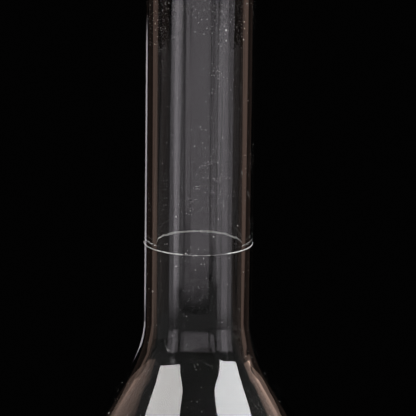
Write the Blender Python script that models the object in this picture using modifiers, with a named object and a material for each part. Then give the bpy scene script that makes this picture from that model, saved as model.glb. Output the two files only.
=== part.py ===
"""A 100 mL volumetric flask with a ground-glass stopper, as a glassblower builds it.

Metres, +Z up. The origin is the centre of the foot, on the surface that the flask stands on.
The vessel is three glass blanks sealed end to end (bulb, neck tube, ground socket) with a graduation ring
let into a groove round the neck. The stopper is a hollow ground plug closed by a flat round penny head, and
it lifts out of the socket along +Z. The socket and the stopper are drawn from the rim: there z is the
height above the rim, so what lies inside the socket is negative.
"""

import math

import bmesh
import bpy
from mathutils import Matrix

MM = 0.001

# Neck and graduation ring.
NECK_RADIUS = 8.2 * MM
BORE_RADIUS = 6.5 * MM
FLARE_BELOW_RING = 11.8 * MM  # from the ring down to where the neck starts to flare
RING_WIDTH = 0.35 * MM
RING_PROUD = 0.04 * MM
RING_GAP = 0.05 * MM  # clearance all round the ring in its groove
GROOVE_DEPTH = 0.15 * MM

# Bulb: a ball, a straight cone that touches it, and a hollow fillet up into the neck.
BALL_RADIUS = 29.6 * MM
BALL_HEIGHT = 23.0 * MM
FILLET_RADIUS = 16.0 * MM
CONE_FROM_AXIS = math.radians(31.5)
BULB_WALL = 1.4 * MM
HEEL_RADIUS = 5.0 * MM
INNER_HEEL_RADIUS = 6.0 * MM
FLOOR_THICKNESS = 2.2 * MM
KICK_UP = 1.6 * MM  # rise of the hollow under the foot
FOOT_WIDTH = 3.6 * MM
SEAL_BELOW_FLARE = 5.7 * MM  # the bulb is sealed on part of the way down the fillet
SEAL_GAP = 0.15 * MM

# Ground socket, a 14/23 standard taper: 14.5 mm across the wide end, 23 mm long, 1 in 10 on the diameter.
RIM_HEIGHT = 170.0 * MM
SOCKET_LENGTH = 30.0 * MM
TAPER_WIDE_RADIUS = 7.25 * MM
TAPER_LENGTH = 23.0 * MM
TAPER_SLOPE = 1.0 / 20.0  # radius lost for each unit of depth
TAPER_LEAD = 3.0 * MM  # length of the blend from the taper's narrow end to the neck's bore
MOUTH_CHAMFER = 0.5 * MM
SOCKET_WALL = 2.1 * MM
BEAD_RADIUS = 1.3 * MM
BEAD_PROUD = 0.9 * MM

# Stopper.
JOINT_CLEARANCE = 0.06 * MM
PLUG_ABOVE_RIM = 1.6 * MM
PLUG_BELOW_TAPER = 1.2 * MM
PLUG_WALL = 1.3 * MM
PLUG_TIP_RADIUS = 2.0 * MM
HEAD_GAP = 0.15 * MM
WAIST_RADIUS = 3.8 * MM
WAIST_ABOVE_PLUG = 3.6 * MM
PENNY_RADIUS = 10.5 * MM
PENNY_THICKNESS = 6.0 * MM
PENNY_BEVEL = 1.4 * MM
PENNY_ABOVE_WAIST = 8.2 * MM  # from the waist up to the centre of the penny

# Facets.
TURNED_STEPS = 40
ARC_STEP = math.radians(9.0)
SMALL_ARC_STEP = math.radians(22.5)
DOME_STEPS = 4
BLEND_STEPS = 4
AXIS_MERGE = 0.01 * MM  # closer than this, the points that a turned profile leaves on the axis become one

GLASS_IOR = 1.474

# Heights worked out from the sizes above: first from the foot, then from the rim.
NECK_WALL = NECK_RADIUS - BORE_RADIUS
FILLET_CENTRE_R = NECK_RADIUS + FILLET_RADIUS
FLARE_HEIGHT = BALL_HEIGHT + (
    BALL_RADIUS + FILLET_RADIUS - FILLET_CENTRE_R * math.cos(CONE_FROM_AXIS)
) / math.sin(CONE_FROM_AXIS)
SEAL_HEIGHT = FLARE_HEIGHT - SEAL_BELOW_FLARE
RING_HEIGHT = FLARE_HEIGHT + FLARE_BELOW_RING
NECK_TOP = RIM_HEIGHT - SOCKET_LENGTH

TAPER_TOP = -MOUTH_CHAMFER
TAPER_BOTTOM = TAPER_TOP - TAPER_LENGTH
PLUG_BOTTOM = TAPER_BOTTOM - PLUG_BELOW_TAPER
HEAD_BOTTOM = PLUG_ABOVE_RIM + HEAD_GAP
WAIST = PLUG_ABOVE_RIM + WAIST_ABOVE_PLUG
PENNY_CENTRE = WAIST + PENNY_ABOVE_WAIST


def clear_scene():
    for obj in list(bpy.data.objects):
        bpy.data.objects.remove(obj)


def new_collection(name):
    collection = bpy.data.collections.new(name)
    bpy.context.scene.collection.children.link(collection)
    return collection


def glass_material(name, colour, roughness, alpha=1.0, transmission=1.0):
    material = bpy.data.materials.new(name)
    material.use_nodes = True
    shader = material.node_tree.nodes["Principled BSDF"]
    shader.inputs["Base Color"].default_value = (*colour, 1.0)
    shader.inputs["Roughness"].default_value = roughness
    shader.inputs["Metallic"].default_value = 0.0
    shader.inputs["IOR"].default_value = GLASS_IOR
    shader.inputs["Alpha"].default_value = alpha
    shader.inputs["Transmission Weight"].default_value = transmission
    return material


def arc(centre, radius, start, end, largest_step=ARC_STEP):
    """Points (r, z) on a circle's arc, both ends included."""
    steps = max(1, math.ceil(abs(end - start) / largest_step - 1e-6))
    angles = [start + (end - start) * i / steps for i in range(steps + 1)]
    return [(centre[0] + radius * math.cos(a), centre[1] + radius * math.sin(a)) for a in angles]


def blend(start, end):
    """Points on an S-shaped curve between two (r, z) points, vertical at both ends."""
    points = []
    for i in range(BLEND_STEPS + 1):
        t = i / BLEND_STEPS
        share = t * t * (3 - 2 * t)
        points.append((start[0] + (end[0] - start[0]) * share, start[1] + (end[1] - start[1]) * t))
    return points


def dome(edge_radius, edge_height):
    """Points from a round edge in to the axis, on the shallow dome of the kick-up."""
    radius = (edge_radius**2 + KICK_UP**2) / (2 * KICK_UP)
    points = []
    for i in range(DOME_STEPS + 1):
        r = edge_radius * (1 - i / DOME_STEPS)
        points.append((r, edge_height + KICK_UP - radius + math.sqrt(radius**2 - r**2)))
    return points


def cone_normal(ball_radius, fillet_radius):
    """Elevation of the normal of the cone that touches the ball and the fillet."""
    rise = FLARE_HEIGHT - BALL_HEIGHT
    span = math.hypot(FILLET_CENTRE_R, rise)
    return math.atan2(rise, FILLET_CENTRE_R) - math.acos((ball_radius + fillet_radius) / span)


def fillet_angle(height, fillet_radius):
    """Angle on the fillet's circle, whose centre is outside the glass, at a given height."""
    return math.pi + math.asin((FLARE_HEIGHT - height) / fillet_radius)


def bulb_side(ball_radius, fillet_radius, heel_radius, floor_height):
    """One face of the bulb's wall, from the seal down to where the heel meets the floor."""
    cone = cone_normal(ball_radius, fillet_radius)
    heel_height = floor_height + heel_radius
    drop = BALL_HEIGHT - heel_height
    heel_r = math.sqrt((ball_radius - heel_radius) ** 2 - drop**2)
    heel_start = -math.atan2(drop, heel_r)
    seal = fillet_angle(SEAL_HEIGHT, fillet_radius)
    return (
        arc((FILLET_CENTRE_R, FLARE_HEIGHT), fillet_radius, seal, math.pi + cone)
        + arc((0.0, BALL_HEIGHT), ball_radius, cone, 0.0)
        + arc((0.0, BALL_HEIGHT), ball_radius, 0.0, heel_start)[1:]
        + arc((heel_r, heel_height), heel_radius, heel_start, -math.pi / 2, SMALL_ARC_STEP)[1:]
    )


def bulb_profile():
    """Up the inside from the floor, over the seal's edge, and down the outside to the kick-up."""
    outer = bulb_side(BALL_RADIUS, FILLET_RADIUS, HEEL_RADIUS, 0.0)
    inner = bulb_side(
        BALL_RADIUS - BULB_WALL, FILLET_RADIUS + NECK_WALL, INNER_HEEL_RADIUS, FLOOR_THICKNESS
    )
    inner += dome(inner[-1][0], FLOOR_THICKNESS)[1:]
    return inner[::-1] + outer + dome(outer[-1][0] - FOOT_WIDTH, 0.0)


def neck_profile():
    """Down the outside, past the ring's groove and into the flare, then up the bore."""
    top = NECK_TOP - SEAL_GAP
    bottom = SEAL_HEIGHT + SEAL_GAP
    groove_top = RING_HEIGHT + RING_WIDTH / 2 + RING_GAP
    groove_bottom = RING_HEIGHT - RING_WIDTH / 2 - RING_GAP
    groove_floor = NECK_RADIUS - GROOVE_DEPTH
    centre = (FILLET_CENTRE_R, FLARE_HEIGHT)
    inner_radius = FILLET_RADIUS + NECK_WALL
    return (
        [
            (NECK_RADIUS, top),
            (NECK_RADIUS, groove_top),
            (groove_floor, groove_top),
            (groove_floor, groove_bottom),
            (NECK_RADIUS, groove_bottom),
        ]
        + arc(centre, FILLET_RADIUS, math.pi, fillet_angle(bottom, FILLET_RADIUS))
        + arc(centre, inner_radius, fillet_angle(bottom, inner_radius), math.pi)
        + [(BORE_RADIUS, top)]
    )


def ring_profile():
    """The ring's section, its middle at height 0: flat in the groove, slightly proud of the neck."""
    half = RING_WIDTH / 2
    inside = NECK_RADIUS - GROOVE_DEPTH + RING_GAP
    return [
        (inside, half),
        (NECK_RADIUS, half),
        (NECK_RADIUS + RING_PROUD, 0.0),
        (NECK_RADIUS, -half),
        (inside, -half),
    ]


def taper_radius(height):
    """Radius of the ground cone at a height from the rim."""
    return TAPER_WIDE_RADIUS - (TAPER_TOP - height) * TAPER_SLOPE


def socket_profile():
    """Over the rim's bead, down the barrel, and up through the blend and the ground cone."""
    barrel_radius = TAPER_WIDE_RADIUS + SOCKET_WALL
    narrow_radius = taper_radius(TAPER_BOTTOM)
    bead_centre = (barrel_radius + BEAD_PROUD - BEAD_RADIUS, -BEAD_RADIUS)
    bead_end = -math.acos((barrel_radius - bead_centre[0]) / BEAD_RADIUS)
    return (
        arc(bead_centre, BEAD_RADIUS, math.pi / 2, bead_end, SMALL_ARC_STEP)
        + [
            (narrow_radius + SOCKET_WALL, TAPER_BOTTOM),
            (NECK_RADIUS, -SOCKET_LENGTH),
            (BORE_RADIUS, -SOCKET_LENGTH),
        ]
        + blend((BORE_RADIUS, TAPER_BOTTOM - TAPER_LEAD), (narrow_radius, TAPER_BOTTOM))
        + [(TAPER_WIDE_RADIUS, TAPER_TOP), (TAPER_WIDE_RADIUS + MOUTH_CHAMFER, 0.0)]
    )


def plug_profile():
    """Up the wall of the hollow, over its open top, and down the ground cone to the tip."""
    top_radius = taper_radius(PLUG_ABOVE_RIM) - JOINT_CLEARANCE
    bottom_radius = taper_radius(PLUG_BOTTOM) - JOINT_CLEARANCE
    hollow_floor = PLUG_BOTTOM + PLUG_WALL
    corner = PLUG_TIP_RADIUS - PLUG_WALL
    centre = (bottom_radius - PLUG_TIP_RADIUS, PLUG_BOTTOM + PLUG_TIP_RADIUS)
    return (
        [(0.0, hollow_floor)]
        + arc(centre, corner, -math.pi / 2, 0.0, SMALL_ARC_STEP)
        + [(top_radius - PLUG_WALL, PLUG_ABOVE_RIM), (top_radius, PLUG_ABOVE_RIM)]
        + arc(centre, PLUG_TIP_RADIUS, 0.0, -math.pi / 2, SMALL_ARC_STEP)
        + [(0.0, PLUG_BOTTOM)]
    )


def stem_profile():
    """From inside the penny down to the waist, and out to the flat that closes the plug."""
    top = PENNY_CENTRE - PENNY_RADIUS / 2
    cover_radius = taper_radius(PLUG_ABOVE_RIM) - JOINT_CLEARANCE
    return (
        [(0.0, top), (PENNY_THICKNESS / 3, top)]
        + blend((WAIST_RADIUS, WAIST), (cover_radius, HEAD_BOTTOM))
        + [(0.0, HEAD_BOTTOM)]
    )


def axis_empty(name, height, collection, parent=None):
    """An empty on the flask's axis, with its place given in the parent's frame."""
    empty = bpy.data.objects.new(name, None)
    empty.location.z = height
    empty.parent = parent
    collection.objects.link(empty)
    return empty


def turned(name, points, height, parent, collection, material):
    """A solid of revolution about Z. A profile that leaves the axis and comes back to it stays open."""
    edges = [(i, i + 1) for i in range(len(points) - 1)]
    if points[0][0] > 0.0:
        edges.append((len(points) - 1, 0))
    mesh = bpy.data.meshes.new(name)
    mesh.from_pydata([(r, 0.0, z) for r, z in points], edges, [])
    mesh.materials.append(material)
    obj = bpy.data.objects.new(name, mesh)
    obj.location.z = height
    obj.parent = parent
    collection.objects.link(obj)
    screw = obj.modifiers.new("Turn", "SCREW")
    screw.axis = "Z"
    screw.angle = 2 * math.pi
    screw.steps = TURNED_STEPS
    screw.render_steps = TURNED_STEPS
    screw.use_merge_vertices = True
    screw.merge_threshold = AXIS_MERGE
    screw.use_smooth_shade = True
    return obj


def penny_blank(parent, collection):
    """The flat round grip, standing on edge with its faces to front and back."""
    mesh = bpy.data.meshes.new("penny_blank")
    shape = bmesh.new()
    bmesh.ops.create_cone(
        shape,
        cap_ends=True,
        segments=TURNED_STEPS,
        radius1=PENNY_RADIUS,
        radius2=PENNY_RADIUS,
        depth=PENNY_THICKNESS,
        matrix=Matrix.Rotation(math.pi / 2, 4, "X"),
    )
    shape.to_mesh(mesh)
    shape.free()
    obj = bpy.data.objects.new("penny_blank", mesh)
    obj.location.z = PENNY_CENTRE
    obj.parent = parent
    obj.hide_render = True
    obj.display_type = "WIRE"
    collection.objects.link(obj)
    bevel = obj.modifiers.new("Round the rim", "BEVEL")
    bevel.width = PENNY_BEVEL
    bevel.segments = 3
    bevel.limit_method = "ANGLE"
    return obj


def main():
    clear_scene()
    parts = new_collection("volumetric_flask")
    tools = new_collection("tools")
    flask = axis_empty("flask", 0.0, parts)
    stopper = axis_empty("stopper", RIM_HEIGHT, parts, parent=flask)

    clear_glass = glass_material("clear_glass", (0.93, 0.96, 0.95), 0.0, alpha=0.35)
    socket_glass = glass_material("socket_glass", (0.90, 0.93, 0.93), 0.2, alpha=0.5)
    ground_glass = glass_material("ground_glass", (0.90, 0.92, 0.92), 0.45, alpha=0.75)
    enamel = glass_material("white_enamel", (0.82, 0.82, 0.80), 0.55, transmission=0.0)

    turned("bulb", bulb_profile(), 0.0, flask, parts, clear_glass)
    turned("neck_tube", neck_profile(), 0.0, flask, parts, clear_glass)
    turned("graduation_ring", ring_profile(), RING_HEIGHT, flask, parts, enamel)
    turned("ground_socket", socket_profile(), RIM_HEIGHT, flask, parts, socket_glass)
    turned("stopper_plug", plug_profile(), 0.0, stopper, parts, ground_glass)

    head = turned("stopper_head", stem_profile(), 0.0, stopper, parts, clear_glass)
    join = head.modifiers.new("Seal the penny on", "BOOLEAN")
    join.operation = "UNION"
    join.solver = "EXACT"
    join.object = penny_blank(stopper, tools)


main()
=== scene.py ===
"""The looks of a 100 mL volumetric flask: one continuous blown glass wall, a hollow ground stopper, fired
enamel, and a table top under soft boxes in a dark studio.

Metres, +Z up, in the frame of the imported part. Places come from the frame. Azimuths are measured about the
flask's axis from the camera's side, positive towards +X.
"""

import math

import bpy
import numpy as np
from mathutils import Matrix, Quaternion, Vector


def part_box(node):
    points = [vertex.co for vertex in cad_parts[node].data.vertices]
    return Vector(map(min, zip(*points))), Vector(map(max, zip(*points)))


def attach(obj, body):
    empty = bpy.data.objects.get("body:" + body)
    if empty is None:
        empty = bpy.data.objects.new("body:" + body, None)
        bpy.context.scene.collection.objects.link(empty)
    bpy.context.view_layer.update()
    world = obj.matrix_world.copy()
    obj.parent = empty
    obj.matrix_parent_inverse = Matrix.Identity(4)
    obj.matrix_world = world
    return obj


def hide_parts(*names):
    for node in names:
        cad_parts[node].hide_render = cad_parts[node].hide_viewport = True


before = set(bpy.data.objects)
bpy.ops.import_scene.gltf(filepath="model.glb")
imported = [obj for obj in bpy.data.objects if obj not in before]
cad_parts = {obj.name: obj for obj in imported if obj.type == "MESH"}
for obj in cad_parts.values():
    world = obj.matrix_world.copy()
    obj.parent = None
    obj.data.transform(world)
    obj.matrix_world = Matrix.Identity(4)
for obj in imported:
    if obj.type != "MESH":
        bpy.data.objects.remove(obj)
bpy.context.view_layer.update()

MM = 0.001

# Places from the frame.
RING_HEIGHT = (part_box("graduation_ring")[0].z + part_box("graduation_ring")[1].z) / 2
RIM_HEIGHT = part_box("ground_socket")[1].z
NECK_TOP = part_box("ground_socket")[0].z
BALL_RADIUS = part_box("bulb")[1].x
SEAL_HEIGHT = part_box("bulb")[1].z
PLUG_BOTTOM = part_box("stopper_plug")[0].z
HEAD_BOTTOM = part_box("stopper_head")[0].z
HEAD_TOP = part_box("stopper_head")[1].z
PENNY_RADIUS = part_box("stopper_head")[1].x
BEAD_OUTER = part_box("ground_socket")[1].x

# Vessel.
NECK_RADIUS = 8.2 * MM
BORE_RADIUS = 6.5 * MM
FLARE_HEIGHT = RING_HEIGHT - 11.8 * MM
BALL_HEIGHT = 23.0 * MM
FILLET_RADIUS = 16.0 * MM
BULB_WALL = 1.4 * MM
HEEL_RADIUS = 5.0 * MM
INNER_HEEL_RADIUS = 6.0 * MM
FLOOR_THICKNESS = 2.2 * MM
KICK_UP = 1.6 * MM
FOOT_WIDTH = 3.6 * MM
TAPER_WIDE_RADIUS = 7.25 * MM
TAPER_LENGTH = 23.0 * MM
TAPER_SLOPE = 1.0 / 20.0
TAPER_LEAD = 3.0 * MM
MOUTH_CHAMFER = 0.5 * MM
SOCKET_WALL = 2.1 * MM
BEAD_RADIUS = 1.3 * MM

# Stopper.
JOINT_CLEARANCE = 0.06 * MM
PLUG_WALL = 1.3 * MM
PLUG_TIP_RADIUS = 2.0 * MM
PENNY_THICKNESS = 6.0 * MM
PENNY_RINGS = 90
WAIST_RADIUS = 3.5 * MM
WAIST_RISE = 4.0 * MM
STEM_FADE = 4.5 * MM
HOLLOW_CORNER = 1.5 * MM
HOLLOW_ROOF = 0.9 * MM

NECK_WALL = NECK_RADIUS - BORE_RADIUS
FILLET_CENTRE_R = NECK_RADIUS + FILLET_RADIUS
TAPER_TOP = RIM_HEIGHT - MOUTH_CHAMFER
TAPER_BOTTOM = TAPER_TOP - TAPER_LENGTH

SEGMENTS = 240
CLEAR, GROUND = 0, 1  # material slots
GLASS_IOR = 1.474  # borosilicate glass

# Spacing of an outline's points.
FINE = 0.3 * MM
COARSE = 1.5 * MM


# ---------------------------------------------------------------- shapes

def arc(centre, radius, start, end, spacing):
    """Points (r, z) on a circle's arc, both ends included."""
    steps = max(2, math.ceil(abs(end - start) * radius / spacing))
    angles = np.linspace(start, end, steps + 1)
    return [(centre[0] + radius * math.cos(a), centre[1] + radius * math.sin(a)) for a in angles]


def line(start, end, spacing):
    """Points on a straight line, both ends included."""
    steps = max(1, math.ceil(math.dist(start, end) / spacing))
    return [tuple(p) for p in np.linspace(start, end, steps + 1)]


def blend(start, end, steps=10):
    """Points on an S-shaped curve between two (r, z) points, vertical at both ends."""
    t = np.linspace(0, 1, steps + 1)
    share = t * t * (3 - 2 * t)
    return list(zip(start[0] + (end[0] - start[0]) * share, start[1] + (end[1] - start[1]) * t))


def smooth_step(low, high, x):
    t = np.clip((x - low) / (high - low), 0.0, 1.0)
    return t * t * (3 - 2 * t)


def taper_radius(height):
    return TAPER_WIDE_RADIUS - (TAPER_TOP - height) * TAPER_SLOPE


def bulb_side(ball_radius, fillet_radius, heel_radius, floor_height):
    """One face of the wall, from where the neck starts to flare down to the floor."""
    rise = FLARE_HEIGHT - BALL_HEIGHT
    span = math.hypot(FILLET_CENTRE_R, rise)
    cone = math.atan2(rise, FILLET_CENTRE_R) - math.acos((ball_radius + fillet_radius) / span)
    heel_height = floor_height + heel_radius
    drop = BALL_HEIGHT - heel_height
    heel_r = math.sqrt((ball_radius - heel_radius) ** 2 - drop**2)
    heel_start = -math.atan2(drop, heel_r)
    fillet = arc((FILLET_CENTRE_R, FLARE_HEIGHT), fillet_radius, math.pi, math.pi + cone, FINE)
    ball = arc((0.0, BALL_HEIGHT), ball_radius, cone, 0.0, 1.2 * MM)
    ball += arc((0.0, BALL_HEIGHT), ball_radius, 0.0, heel_start, 1.2 * MM)[1:]
    heel = arc((heel_r, heel_height), heel_radius, heel_start, -math.pi / 2, 0.6 * MM)
    return fillet + line(fillet[-1], ball[0], 0.8 * MM)[1:-1] + ball + heel[1:]


def dome(edge_radius, edge_height):
    """Points from a round edge in to the axis, on the shallow dome of the kick-up."""
    radius = (edge_radius**2 + KICK_UP**2) / (2 * KICK_UP)
    r = np.linspace(edge_radius, 0.0, 13)
    return list(zip(r, edge_height + KICK_UP - radius + np.sqrt(radius**2 - r**2)))


def foot(edge_radius):
    """The kick-up under the foot, rounded where it meets the flat ring that the flask stands on."""
    points = dome(edge_radius, 0.0)
    return [(edge_radius + 0.9 * MM, 0.0)] + points[1:]


def vessel_profile():
    """From the middle of the foot, up the outside, over the rim, and down the inside to the floor."""
    outer = bulb_side(BALL_RADIUS, FILLET_RADIUS, HEEL_RADIUS, 0.0)
    outer += foot(outer[-1][0] - FOOT_WIDTH)
    barrel = TAPER_WIDE_RADIUS + SOCKET_WALL
    narrow = taper_radius(TAPER_BOTTOM)
    neck = line(outer[0], (NECK_RADIUS, NECK_TOP), COARSE)[1:]
    neck += line(neck[-1], (narrow + SOCKET_WALL, TAPER_BOTTOM), COARSE)[1:]
    bead_centre = (BEAD_OUTER - BEAD_RADIUS, RIM_HEIGHT - BEAD_RADIUS)
    bead_start = -math.acos((barrel - bead_centre[0]) / BEAD_RADIUS)
    bead = arc(bead_centre, BEAD_RADIUS, bead_start, math.pi / 2, 0.2 * MM)
    neck += line(neck[-1], bead[0], COARSE)[1:-1]
    mouth = [
        (TAPER_WIDE_RADIUS + 1.4 * MOUTH_CHAMFER, RIM_HEIGHT),
        (TAPER_WIDE_RADIUS + MOUTH_CHAMFER, RIM_HEIGHT - 0.1 * MOUTH_CHAMFER),
        (TAPER_WIDE_RADIUS + 0.1 * MOUTH_CHAMFER, TAPER_TOP + 0.1 * MOUTH_CHAMFER),
    ]
    taper = line((TAPER_WIDE_RADIUS, TAPER_TOP), (narrow, TAPER_BOTTOM), COARSE)
    lead = blend((BORE_RADIUS, TAPER_BOTTOM - TAPER_LEAD), (narrow, TAPER_BOTTOM))[::-1][1:]
    inner = bulb_side(
        BALL_RADIUS - BULB_WALL, FILLET_RADIUS + NECK_WALL, INNER_HEEL_RADIUS, FLOOR_THICKNESS
    )
    bore = line(lead[-1], inner[0], COARSE)[1:-1]
    inner += dome(inner[-1][0], FLOOR_THICKNESS)[1:]
    outside = outer[::-1] + neck + bead
    inside = mouth + taper + lead + bore + inner
    return outside, inside


def rings_mesh(name, rings, zones, wobble=None):
    """A closed skin through horizontal rings, bottom ring first on an outside and last on an inside.

    A ring is (half width along X, half width along Y, squareness, height). Squareness is 2 for an ellipse.
    zones gives the material of the band above each ring. wobble(angles, radius, height, side) is added to the
    radius. The first and last rings are points on the axis.
    """
    angles = np.arange(SEGMENTS) * 2 * math.pi / SEGMENTS
    verts, faces, slots = [], [], []
    for i, (a, b, square, z) in enumerate(rings):
        if a < 1e-9:
            verts.append((0.0, 0.0, z))
            continue
        c, s = np.cos(angles), np.sin(angles)
        x = a * np.sign(c) * np.abs(c) ** (2 / square)
        y = b * np.sign(s) * np.abs(s) ** (2 / square)
        if wobble is not None:
            grow = 1 + wobble(angles, a, z, i) / a
            x, y = x * grow, y * grow
        verts += list(zip(x, y, np.full(SEGMENTS, z)))
    below = 1
    last = len(verts) - 1
    count = len(rings)
    for j in range(SEGMENTS):
        k = (j + 1) % SEGMENTS
        faces.append((0, 1 + k, 1 + j))
    slots += [zones[0]] * SEGMENTS
    for i in range(1, count - 2):
        above = below + SEGMENTS
        for j in range(SEGMENTS):
            k = (j + 1) % SEGMENTS
            faces.append((below + j, below + k, above + k, above + j))
        slots += [zones[i]] * SEGMENTS
        below = above
    for j in range(SEGMENTS):
        k = (j + 1) % SEGMENTS
        faces.append((last, below + j, below + k))
    slots += [zones[-1]] * SEGMENTS
    mesh = bpy.data.meshes.new(name)
    mesh.from_pydata(verts, [], faces)
    mesh.polygons.foreach_set("material_index", slots)
    mesh.update()
    return mesh


def add_piece(name, mesh, materials, sharp=math.radians(50)):
    for material in materials:
        mesh.materials.append(material)
    mesh.shade_smooth()
    mesh.set_sharp_from_angle(angle=sharp)
    obj = bpy.data.objects.new(name, mesh)
    bpy.context.scene.collection.objects.link(obj)
    return obj


def harmonics(seed, low, high):
    """(order, amplitude, phase) of gentle irregularities round the axis, the finer the fainter."""
    rng = np.random.default_rng(seed)
    orders = np.arange(low, high)
    sizes = rng.normal(0.0, 1.0, len(orders)) / orders**0.8
    return orders, sizes / np.abs(sizes).sum(), rng.uniform(0, 2 * math.pi, len(orders))


def wave(table, angles, drift):
    """The irregularity at each angle. drift turns the phases slowly, as height does along drawn tube."""
    orders, sizes, phases = table
    return (sizes * np.cos(np.outer(angles, orders) + phases + drift * np.sqrt(orders))).sum(1)


OUTER_DRAW = harmonics(11, 3, 34)
INNER_DRAW = harmonics(12, 3, 44)
BLOWN = harmonics(13, 2, 9)
SEAL = harmonics(14, 2, 14)

# Depths of the irregularities, outside and inside.
DRAW_DEPTH = (0.035 * MM, 0.07 * MM)
SEAL_DEPTH = (0.01 * MM, -0.05 * MM)
BLOWN_DEPTH = 0.10 * MM
SEAL_TILT = 0.9 * MM
SEAL_WIDTH = 0.8 * MM


def vessel_wobble(outside_rings):
    """Draw lines along the neck, soft unevenness in the blown bulb, and the ripple of the seal."""

    def wobble(angles, radius, height, ring):
        inside = ring >= outside_rings
        neck = smooth_step(SEAL_HEIGHT - 6 * MM, FLARE_HEIGHT, height)
        neck *= 1 - smooth_step(NECK_TOP, NECK_TOP + 4 * MM, height)
        draw = wave(INNER_DRAW if inside else OUTER_DRAW, angles, height * 12)
        off = neck * draw * DRAW_DEPTH[inside]
        bulb = 1 - smooth_step(SEAL_HEIGHT, FLARE_HEIGHT, height)
        bulb *= smooth_step(1.0 * MM, 12 * MM, height)
        off += bulb * wave(BLOWN, angles, height * 160 + inside) * BLOWN_DEPTH
        tilt = wave(SEAL, angles, 0.0) * SEAL_TILT
        ripple = np.exp(-(((height - SEAL_HEIGHT - tilt) / SEAL_WIDTH) ** 2))
        off += ripple * (1 + 1.2 * wave(SEAL, angles, 4.0)) * SEAL_DEPTH[inside]
        return np.minimum(off, BALL_RADIUS - radius) if not inside else off

    return wobble


def make_vessel(clear, ground):
    outside, inside = vessel_profile()
    points = outside + inside
    rings = [(r, r, 2.0, z) for r, z in points]
    zones = []
    for i in range(len(points) - 1):
        middle = (points[i][1] + points[i + 1][1]) / 2
        ground_band = i >= len(outside) and TAPER_BOTTOM < middle < TAPER_TOP
        zones.append(GROUND if ground_band else CLEAR)
    mesh = rings_mesh("flask_glass", rings, zones, vessel_wobble(len(outside)))
    vessel = add_piece("flask_glass", mesh, [clear, ground])
    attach(vessel, "flask")
    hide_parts("bulb", "neck_tube", "ground_socket")


def penny_sections():
    """The stopper's head from the plug's shoulder to the top of the penny, as rings."""
    cover = taper_radius(HEAD_BOTTOM) - JOINT_CLEARANCE
    centre = HEAD_TOP - PENNY_RADIUS
    waist = HEAD_BOTTOM + WAIST_RISE
    sections = []
    for z in np.linspace(HEAD_BOTTOM + 0.2 * MM, HEAD_TOP, PENNY_RINGS):
        rise = min(max((z - centre) / PENNY_RADIUS, -1.0), 1.0)
        disc = PENNY_RADIUS * math.sqrt(1 - rise**2)
        thick = PENNY_THICKNESS / 2 * max(1 - abs(rise) ** 7, 0.0) ** 0.5
        stem = float(smooth_step(waist + STEM_FADE, HEAD_BOTTOM, z))
        foot_share = float(1 - smooth_step(HEAD_BOTTOM, waist, z))
        if z < centre:
            a = max(disc, WAIST_RADIUS + (cover - WAIST_RADIUS) * foot_share)
            b = max(PENNY_THICKNESS / 2, WAIST_RADIUS * stem, cover * foot_share)
        else:
            a, b = disc, thick
        square = 2.0 + 1.8 * (1 - stem)
        sections.append([a, b, square, z])
    sections = np.array(sections)
    for _ in range(6):  # soften where the penny runs into the stem
        sections[1:-1, :3] = (sections[:-2, :3] + 2 * sections[1:-1, :3] + sections[2:, :3]) / 4
    return [tuple(row) for row in sections]


def make_stopper(clear, ground):
    top_radius = taper_radius(HEAD_BOTTOM) - JOINT_CLEARANCE
    bottom_radius = taper_radius(PLUG_BOTTOM) - JOINT_CLEARANCE
    tip = (bottom_radius - PLUG_TIP_RADIUS, PLUG_BOTTOM + PLUG_TIP_RADIUS)
    under = line((0.0, PLUG_BOTTOM), (tip[0], PLUG_BOTTOM), 0.8 * MM)
    plug = under + arc(tip, PLUG_TIP_RADIUS, -math.pi / 2, 0.0, FINE)[1:]
    plug += line(plug[-1], (top_radius, HEAD_BOTTOM), 1.2 * MM)[1:]
    rings = [(r, r, 2.0, z) for r, z in plug] + penny_sections()
    rings[-1] = (0.0, 0.0, 2.0, HEAD_TOP)
    zones = []
    for lower, upper in zip(rings, rings[1:]):
        middle = (lower[3] + upper[3]) / 2
        zones.append(GROUND if PLUG_BOTTOM + 1.2 * MM < middle < RIM_HEIGHT + 0.4 * MM else CLEAR)
    mesh = rings_mesh("stopper_glass", rings, zones)

    low, high = PLUG_BOTTOM + PLUG_WALL, HEAD_BOTTOM - HOLLOW_ROOF
    floor_edge = (bottom_radius - PLUG_WALL - HOLLOW_CORNER, low + HOLLOW_CORNER)
    roof_edge = (top_radius - PLUG_WALL - HOLLOW_CORNER, high - HOLLOW_CORNER)
    hollow = line((0.0, low), (floor_edge[0], low), 0.8 * MM)
    hollow += arc(floor_edge, HOLLOW_CORNER, -math.pi / 2, 0.0, FINE)[1:]
    hollow += line(hollow[-1], (roof_edge[0] + HOLLOW_CORNER, roof_edge[1]), 1.2 * MM)[1:]
    hollow += arc(roof_edge, HOLLOW_CORNER, 0.0, math.pi / 2, FINE)[1:]
    hollow += line(hollow[-1], (0.0, high), 0.8 * MM)[1:]
    inner = rings_mesh("hollow", [(r, r, 2.0, z) for r, z in hollow], [CLEAR] * (len(hollow) - 1))
    inner.flip_normals()

    stopper = add_piece("stopper_glass", mesh, [clear, ground])
    cavity = add_piece("stopper_hollow", inner, [clear, ground])
    with bpy.context.temp_override(active_object=stopper, selected_editable_objects=[stopper, cavity]):
        bpy.ops.object.join()
    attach(stopper, "stopper")
    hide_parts("stopper_plug", "stopper_head")


RING_WEAR = harmonics(21, 5, 60)
RING_GRAIN = harmonics(22, 40, 150)
WEAR_AT = math.radians(-83)  # the bearing of the worn stretch, from +X
RING_STEPS = 720
RING_HALF_WIDTH = 0.075 * MM
RING_PROUD = 0.035 * MM
RING_INSET = 0.06 * MM


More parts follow.
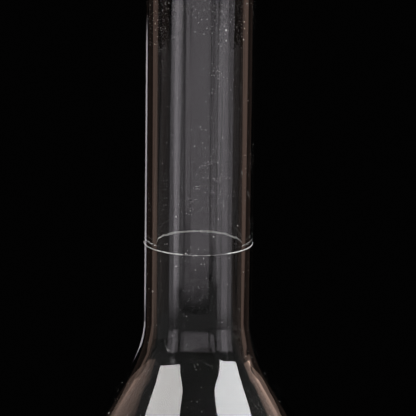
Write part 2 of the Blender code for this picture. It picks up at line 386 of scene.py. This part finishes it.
def make_ring(enamel):
    """The graduation ring: a low bead of enamel whose width wavers, worn thin over the front
    and broader at the back."""
    steps = RING_STEPS
    angles = np.arange(steps) * 2 * math.pi / steps
    from_wear = np.abs((angles - WEAR_AT + math.pi) % (2 * math.pi) - math.pi)
    worn = 1 - smooth_step(math.radians(20), math.radians(28), from_wear)
    width = 1 + 0.9 * wave(RING_WEAR, angles, 0.0) + 1.2 * wave(RING_GRAIN, angles, 0.0)
    width *= RING_HALF_WIDTH
    width *= 1 + 0.9 * smooth_step(math.radians(70), math.radians(130), from_wear)
    dashes = np.clip(0.02 + 2.5 * wave(RING_WEAR, angles, 2.0), 0.03, 0.42)
    half = width * (1 - worn * (1 - dashes))
    middle = RING_HEIGHT + 0.03 * MM * wave(RING_WEAR, angles, 5.0)
    proud = NECK_RADIUS + RING_PROUD
    inset = NECK_RADIUS - RING_INSET
    upper = ((1, inset), (1, NECK_RADIUS), (0.6, proud))
    lower = ((-0.6, proud), (-1, NECK_RADIUS), (-1, inset))
    verts = []
    for share, radius in upper + lower:
        z = middle + share * half
        verts += list(zip(radius * np.cos(angles), radius * np.sin(angles), z))
    faces = []
    for i in range(6):
        for j in range(steps):
            k = (j + 1) % steps
            a, b = i * steps, (i + 1) % 6 * steps
            faces.append((a + j, b + j, b + k, a + k))
    mesh = bpy.data.meshes.new("ring_enamel")
    mesh.from_pydata(verts, [], faces)
    ring = add_piece("ring_enamel", mesh, [enamel])
    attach(ring, "flask")
    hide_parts("graduation_ring")


# ---------------------------------------------------------------- materials

def new_material(name):
    material = bpy.data.materials.new(name)
    material.use_nodes = True
    nodes = material.node_tree.nodes
    return material, nodes, material.node_tree.links, nodes["Principled BSDF"]


def node(nodes, kind, **values):
    """A new node with its properties and, by name, its inputs set."""
    made = nodes.new("ShaderNode" + kind)
    for key, value in values.items():
        if hasattr(made, key):
            setattr(made, key, value)
        else:
            made.inputs[key.replace("_", " ")].default_value = value
    return made


def ramp(nodes, links, source, low, high):
    """0 below low and 1 above high."""
    made = nodes.new("ShaderNodeMapRange")
    made.interpolation_type = "SMOOTHSTEP"
    made.inputs["From Min"].default_value = low
    made.inputs["From Max"].default_value = high
    links.new(source, made.inputs["Value"])
    return made.outputs["Result"]


def multiply(nodes, links, first, second):
    made = nodes.new("ShaderNodeMath")
    made.operation = "MULTIPLY"
    for slot, value in zip(made.inputs, (first, second)):
        if isinstance(value, float):
            slot.default_value = value
        else:
            links.new(value, slot)
    return made.outputs[0]


def maximum(nodes, links, first, second):
    made = nodes.new("ShaderNodeMath")
    made.operation = "MAXIMUM"
    links.new(first, made.inputs[0])
    links.new(second, made.inputs[1])
    return made.outputs[0]


def dust(nodes, links, place, cell, size, share):
    """Specks of uneven strength: one point in each cell of that size, shown for a share of the cells."""
    cells = node(nodes, "TexVoronoi", feature="F1", Scale=1 / cell, Randomness=1.0)
    links.new(place, cells.inputs["Vector"])
    near = ramp(nodes, links, cells.outputs["Distance"], size / cell, 0.6 * size / cell)
    split = nodes.new("ShaderNodeSeparateColor")
    links.new(cells.outputs["Color"], split.inputs[0])
    chosen = ramp(nodes, links, split.outputs["Red"], share, 0.2 * share)
    return multiply(nodes, links, near, chosen)


def hairlines(nodes, links, place, turn, stretch, cell, width, share):
    """Short faint scuffs along the edges of stretched cells, kept only where a soft noise is high."""
    bent = node(nodes, "TexNoise", Scale=250.0, Detail=2.0)
    links.new(place, bent.inputs["Vector"])
    warp = node(nodes, "VectorMath", operation="SCALE", Scale=0.0012)
    links.new(bent.outputs["Color"], warp.inputs[0])
    moved = node(nodes, "VectorMath", operation="ADD")
    links.new(place, moved.inputs[0])
    links.new(warp.outputs[0], moved.inputs[1])
    mapping = node(nodes, "Mapping", Rotation=turn, Scale=stretch)
    links.new(moved.outputs[0], mapping.inputs["Vector"])
    cells = node(nodes, "TexVoronoi", feature="DISTANCE_TO_EDGE", Scale=1 / cell)
    links.new(mapping.outputs[0], cells.inputs["Vector"])
    edge = ramp(nodes, links, cells.outputs["Distance"], width / cell, 0.3 * width / cell)
    patches = node(nodes, "TexNoise", Scale=620.0, Detail=1.0)
    links.new(place, patches.inputs["Vector"])
    kept = ramp(nodes, links, patches.outputs["Fac"], 1 - share, 1.12 - share)
    return multiply(nodes, links, edge, kept)


def clear_glass():
    material, nodes, links, shader = new_material("clear_glass_with_dust")
    place = nodes.new("ShaderNodeTexCoord").outputs["Object"]
    settled = node(nodes, "TexNoise", Scale=130.0, Detail=3.0)
    links.new(place, settled.inputs["Vector"])
    where = ramp(nodes, links, settled.outputs["Fac"], 0.46, 0.64)
    fine = multiply(nodes, links, dust(nodes, links, place, 0.4 * MM, 0.065 * MM, 0.65), where)
    specks = dust(nodes, links, place, 1.9 * MM, 0.1 * MM, 0.65)
    lint = dust(nodes, links, place, 3.4 * MM, 0.16 * MM, 0.7)
    scuffs = hairlines(nodes, links, place, (0.3, 0.5, 0.2), (1.0, 1.0, 0.5), 5.0 * MM, 0.05 * MM, 0.34)
    dirt = maximum(nodes, links, specks, lint)
    dirt = maximum(nodes, links, dirt, multiply(nodes, links, fine, 0.7))
    dirt = maximum(nodes, links, dirt, multiply(nodes, links, scuffs, 0.3))

    tint = node(nodes, "TexNoise", Scale=40.0, Detail=2.0)
    links.new(place, tint.inputs["Vector"])
    colour = nodes.new("ShaderNodeMix")
    colour.data_type = "RGBA"
    colour.inputs["A"].default_value = (0.965, 0.985, 0.975, 1)
    colour.inputs["B"].default_value = (0.985, 0.985, 0.98, 1)
    links.new(tint.outputs["Fac"], colour.inputs["Factor"])
    dusty = nodes.new("ShaderNodeMix")
    dusty.data_type = "RGBA"
    links.new(dirt, dusty.inputs["Factor"])
    links.new(colour.outputs["Result"], dusty.inputs["A"])
    dusty.inputs["B"].default_value = (0.75, 0.74, 0.72, 1)
    links.new(dusty.outputs["Result"], shader.inputs["Base Color"])

    shader.inputs["IOR"].default_value = GLASS_IOR
    clear = nodes.new("ShaderNodeMath")
    clear.operation = "SUBTRACT"
    clear.inputs[0].default_value = 1.0
    links.new(dirt, clear.inputs[1])
    links.new(clear.outputs[0], shader.inputs["Transmission Weight"])
    rough = multiply(nodes, links, dirt, 0.8)
    links.new(rough, shader.inputs["Roughness"])
    return material


def ground_glass():
    material, nodes, links, shader = new_material("ground_glass_grain")
    place = nodes.new("ShaderNodeTexCoord").outputs["Object"]
    grain = node(nodes, "TexNoise", Scale=9000.0, Detail=3.0)
    links.new(place, grain.inputs["Vector"])
    turned = nodes.new("ShaderNodeMapping")
    turned.inputs["Scale"].default_value = (60.0, 60.0, 5200.0)
    links.new(place, turned.inputs["Vector"])
    lines = node(nodes, "TexNoise", Scale=1.0, Detail=2.0)
    links.new(turned.outputs[0], lines.inputs["Vector"])
    rough = nodes.new("ShaderNodeMapRange")
    rough.inputs["To Min"].default_value = 0.38
    rough.inputs["To Max"].default_value = 0.62
    links.new(lines.outputs["Fac"], rough.inputs["Value"])
    links.new(rough.outputs["Result"], shader.inputs["Roughness"])
    bump = nodes.new("ShaderNodeBump")
    bump.inputs["Strength"].default_value = 0.35
    bump.inputs["Distance"].default_value = 0.05 * MM
    links.new(grain.outputs["Fac"], bump.inputs["Height"])
    links.new(bump.outputs[0], shader.inputs["Normal"])
    colour = nodes.new("ShaderNodeMix")
    colour.data_type = "RGBA"
    colour.inputs["A"].default_value = (0.90, 0.92, 0.92, 1)
    colour.inputs["B"].default_value = (0.97, 0.98, 0.98, 1)
    links.new(lines.outputs["Fac"], colour.inputs["Factor"])
    links.new(colour.outputs["Result"], shader.inputs["Base Color"])
    shader.inputs["IOR"].default_value = GLASS_IOR
    shader.inputs["Transmission Weight"].default_value = 1.0
    return material


def white_enamel():
    material, nodes, links, shader = new_material("fired_white_enamel")
    place = nodes.new("ShaderNodeTexCoord").outputs["Object"]
    grain = node(nodes, "TexNoise", Scale=3500.0, Detail=4.0)
    links.new(place, grain.inputs["Vector"])
    colour = nodes.new("ShaderNodeMix")
    colour.data_type = "RGBA"
    colour.inputs["A"].default_value = (0.62, 0.61, 0.59, 1)
    colour.inputs["B"].default_value = (0.90, 0.90, 0.88, 1)
    links.new(ramp(nodes, links, grain.outputs["Fac"], 0.35, 0.6), colour.inputs["Factor"])
    links.new(colour.outputs["Result"], shader.inputs["Base Color"])
    rough = nodes.new("ShaderNodeMapRange")
    rough.inputs["To Min"].default_value = 0.45
    rough.inputs["To Max"].default_value = 0.75
    links.new(grain.outputs["Fac"], rough.inputs["Value"])
    links.new(rough.outputs["Result"], shader.inputs["Roughness"])
    return material


# ---------------------------------------------------------------- studio

LIT_FROM = Vector((0.0, 0.0, 75 * MM))  # the point on the axis that the lights face


def from_axis(azimuth, elevation, distance):
    a, e = math.radians(azimuth), math.radians(elevation)
    way = Vector((math.sin(a) * math.cos(e), -math.cos(a) * math.cos(e), math.sin(e)))
    return LIT_FROM + way * distance


def facing(place):
    return (place - LIT_FROM).to_track_quat("Z", "Y")


def area_light(name, azimuth, elevation, distance, width, height, radiance, colour=(1, 1, 1), turn=0.0):
    """A soft area light with its face square to the flask. The camera doesn't see it."""
    data = bpy.data.lights.new(name, "AREA")
    data.shape = "RECTANGLE"
    data.size, data.size_y = width, height
    data.energy = radiance * math.pi * width * height
    data.color = colour
    lamp = bpy.data.objects.new(name, data)
    lamp.location = from_axis(azimuth, elevation, distance)
    lamp.rotation_mode = "QUATERNION"
    lamp.rotation_quaternion = facing(lamp.location) @ Quaternion((0.0, 0.0, 1.0), math.radians(turn))
    lamp.visible_camera = False
    bpy.context.scene.collection.objects.link(lamp)
    return lamp


def softbox(name, mirrored, refracted, scattered, **place):
    """One softbox as three lights in one place: as the glass mirrors it, as light that has been
    through the glass shows it, and as matt surfaces catch it. Each has its own radiance."""
    mirror = area_light(name + "_mirrored", radiance=mirrored, **place)
    mirror.visible_transmission = False
    mirror.visible_diffuse = False
    inside = area_light(name + "_refracted", radiance=refracted, **place)
    inside.visible_glossy = False
    inside.visible_diffuse = False
    matt = area_light(name + "_scattered", radiance=scattered, **place)
    matt.visible_glossy = False
    matt.visible_transmission = False
    return [mirror, inside, matt]


NEUTRAL = (1.0, 0.92, 1.0)
WARM = (1.0, 0.68, 0.56)
CARD_DISTANCE = 0.25
CARD_STEP = 5  # degrees that one face of a card spans, at most
SIDE_FADE = math.radians(3)

# Plain cards that stand upright round the flask: name, azimuths in degrees, heights in millimetres,
# radiance and colour. In front bright ones on both sides and a grey one between, warm walls behind.
CARDS = (
    ("card_front", (-36, 24), (8, 96), 0.55, NEUTRAL),
    ("table_near", (-18, 36), (-14, 5), 0.4, NEUTRAL),
    ("card_left", (-64, -44), (4, 96), 1.0, NEUTRAL),
    ("card_right_narrow", (27, 37), (20, 96), 0.9, NEUTRAL),
    ("card_right", (48, 76), (2, 96), 1.1, NEUTRAL),
    ("wall_left_high", (-138, -98), (94, 180), 0.5, WARM),
    ("wall_right_high", (115, 138), (94, 145), 0.9, WARM),
    ("wall_left_low", (-140, -112), (-15, 100), 0.07, WARM),
    ("wall_right_low", (102, 142), (-15, 100), 0.08, WARM),
)


def card(name, azimuths, heights, radiance, colour, distance=CARD_DISTANCE, fade=8):
    """An upright curved card of even brightness that fades at its edges, over fade millimetres at the top and
    bottom. The glass mirrors and refracts it, and the camera doesn't see it."""
    material = bpy.data.materials.new(name)
    material.use_nodes = True
    nodes, links = material.node_tree.nodes, material.node_tree.links
    nodes.clear()
    split = nodes.new("ShaderNodeSeparateXYZ")
    links.new(nodes.new("ShaderNodeTexCoord").outputs["Object"], split.inputs[0])
    angle = node(nodes, "Math", operation="ARCTAN2")
    links.new(split.outputs["X"], angle.inputs[0])
    links.new(multiply(nodes, links, split.outputs["Y"], -1.0), angle.inputs[1])
    left, right = np.radians(azimuths)
    bottom, top = np.array(heights) * MM
    across = multiply(
        nodes, links,
        ramp(nodes, links, angle.outputs[0], left, left + SIDE_FADE),
        ramp(nodes, links, angle.outputs[0], right, right - SIDE_FADE),
    )
    upwards = multiply(
        nodes, links,
        ramp(nodes, links, split.outputs["Z"], bottom, bottom + fade * MM),
        ramp(nodes, links, split.outputs["Z"], top, top - fade * MM),
    )
    glow = nodes.new("ShaderNodeEmission")
    glow.inputs["Color"].default_value = (*colour, 1)
    level = multiply(nodes, links, across, upwards)
    links.new(multiply(nodes, links, level, radiance), glow.inputs["Strength"])
    out = nodes.new("ShaderNodeOutputMaterial")
    links.new(glow.outputs[0], out.inputs["Surface"])

    steps = math.ceil((azimuths[1] - azimuths[0]) / CARD_STEP)
    verts, faces = [], []
    for bearing in np.linspace(left, right, steps + 1):
        x, y = distance * math.sin(bearing), -distance * math.cos(bearing)
        verts += [(x, y, bottom), (x, y, top)]
    for i in range(steps):
        faces.append((2 * i, 2 * i + 2, 2 * i + 3, 2 * i + 1))
    mesh = bpy.data.meshes.new(name)
    mesh.from_pydata(verts, [], faces)
    mesh.materials.append(material)
    obj = bpy.data.objects.new(name, mesh)
    obj.visible_camera = False
    obj.visible_diffuse = False
    obj.visible_shadow = False
    bpy.context.scene.collection.objects.link(obj)
    return obj


def table_top():
    """A pale table top that runs out in front of the flask and ends close behind it."""
    material, nodes, links, shader = new_material("pale_table")
    shader.inputs["Base Color"].default_value = (0.46, 0.45, 0.455, 1)
    shader.inputs["Roughness"].default_value = 0.6
    half, front, back, thick = 0.6, -0.9, 0.13, 0.02
    mesh = bpy.data.meshes.new("table_top")
    x, y = (-half, half), (front, back)
    verts = [(x[i], y[j], z) for z in (-thick, 0.0) for i, j in ((0, 0), (1, 0), (1, 1), (0, 1))]
    faces = [(3, 2, 1, 0), (4, 5, 6, 7), (0, 1, 5, 4), (1, 2, 6, 5), (2, 3, 7, 6), (3, 0, 4, 7)]
    mesh.from_pydata(verts, [], faces)
    mesh.materials.append(material)
    table = bpy.data.objects.new("table_top", mesh)
    bpy.context.scene.collection.objects.link(table)
    bevel = table.modifiers.new("Round the edges", "BEVEL")
    bevel.width = 0.004
    bevel.segments = 4
    return table


def link_lights(table, keys, over):
    """The softboxes leave the table out, and the overhead light is for the table alone."""
    without = bpy.data.collections.new("all_but_table")
    without.objects.link(table)
    without.collection_objects[0].light_linking.link_state = "EXCLUDE"
    only = bpy.data.collections.new("table_only")
    only.objects.link(table)
    for lamp in keys:
        lamp.light_linking.receiver_collection = without
    over.light_linking.receiver_collection = only


BLACK_ROOM = (0.0008, 0.0008, 0.0008, 1)


def studio():
    left = softbox(
        "softbox_left", mirrored=12.0, refracted=4.0, scattered=6.2, azimuth=-55, elevation=37.5,
        distance=0.72, width=0.55, height=0.49, colour=(1.0, 0.975, 0.96), turn=4
    )
    right = softbox(
        "softbox_right", mirrored=15.8, refracted=4.8, scattered=8.6, azimuth=61, elevation=34.5,
        distance=0.72, width=0.51, height=0.56, colour=(0.98, 0.985, 1.0)
    )
    over = area_light("overhead", azimuth=0, elevation=80, distance=0.9, width=0.9, height=0.9, radiance=0.9)
    over.visible_glossy = False
    over.visible_transmission = False
    for row in CARDS:
        card(*row)
    low = card("card_far_behind", (-163, -147), (-260, -100), 1.0, NEUTRAL, distance=1.2, fade=20)
    low.visible_transmission = False
    link_lights(table_top(), left + right, over)

    world = bpy.data.worlds.new("dark_studio")
    world.use_nodes = True
    world.node_tree.nodes["Background"].inputs["Color"].default_value = BLACK_ROOM
    bpy.context.scene.world = world
    bpy.context.scene.view_settings.view_transform = "Standard"


CAMERA_ELEVATION = math.radians(14.0)  # looking down at the graduation ring
CAMERA_DISTANCE = 0.538
FIELD_OF_VIEW = math.radians(6.7)
AIM_RIGHT = 1.40 * MM  # the picture's centre lies this far right of the ring, and above it
AIM_UP = 5.2 * MM
ROLL = math.radians(0.68)


def camera():
    data = bpy.data.cameras.new("camera")
    data.sensor_fit = "HORIZONTAL"
    data.angle = FIELD_OF_VIEW
    data.clip_start, data.clip_end = 0.01, 20
    cam = bpy.data.objects.new("camera", data)
    bpy.context.scene.collection.objects.link(cam)
    ring = Vector((0.0, 0.0, RING_HEIGHT))
    back = Vector((0.0, -math.cos(CAMERA_ELEVATION), math.sin(CAMERA_ELEVATION)))
    cam.location = ring + back * CAMERA_DISTANCE
    up = Vector((0.0, math.sin(CAMERA_ELEVATION), math.cos(CAMERA_ELEVATION)))
    aim = ring + Vector((AIM_RIGHT, 0.0, 0.0)) + up * AIM_UP
    turn = (cam.location - aim).to_track_quat("Z", "Y").to_matrix().to_4x4()
    cam.matrix_world = Matrix.Translation(cam.location) @ turn @ Matrix.Rotation(ROLL, 4, "Z")
    bpy.context.scene.camera = cam


camera()
clear, ground, enamel = clear_glass(), ground_glass(), white_enamel()
make_vessel(clear, ground)
make_stopper(clear, ground)
make_ring(enamel)
studio()
